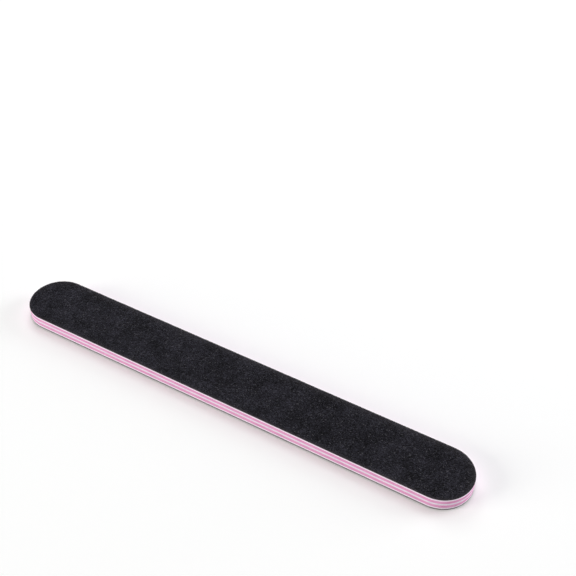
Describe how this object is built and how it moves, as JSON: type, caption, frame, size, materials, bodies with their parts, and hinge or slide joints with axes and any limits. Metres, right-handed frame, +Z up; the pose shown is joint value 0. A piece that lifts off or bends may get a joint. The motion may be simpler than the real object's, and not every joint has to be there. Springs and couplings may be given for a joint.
{
  "type": "emery board",
  "caption": "Double-sided emery board with round ends: grit paper bonded to each side of a foam and plastic laminate.",
  "frame": {"origin": "on the lower grit face, midway along and across the board", "axes": "+Z up out of the coarse grit face, +X along the board, +Y across it"},
  "size_m": [0.178, 0.022, 0.0051],
  "materials": {
    "grit": "matte",
    "resin": "matte",
    "paper": "matte",
    "adhesive": "satin",
    "foam": "matte",
    "core": "satin"
  },
  "bodies": {
    "root": {"coarse_grain_layer": "grit", "upper_resin_coat": "resin", "upper_backing_paper": "paper", "upper_paper_adhesive": "adhesive", "upper_foam": "foam", "upper_core_adhesive": "adhesive", "core_strip": "core", "lower_core_adhesive": "adhesive", "lower_foam": "foam", "lower_paper_adhesive": "adhesive", "lower_backing_paper": "paper", "lower_resin_coat": "resin", "fine_grain_layer": "grit"}
  },
  "joints": []
}
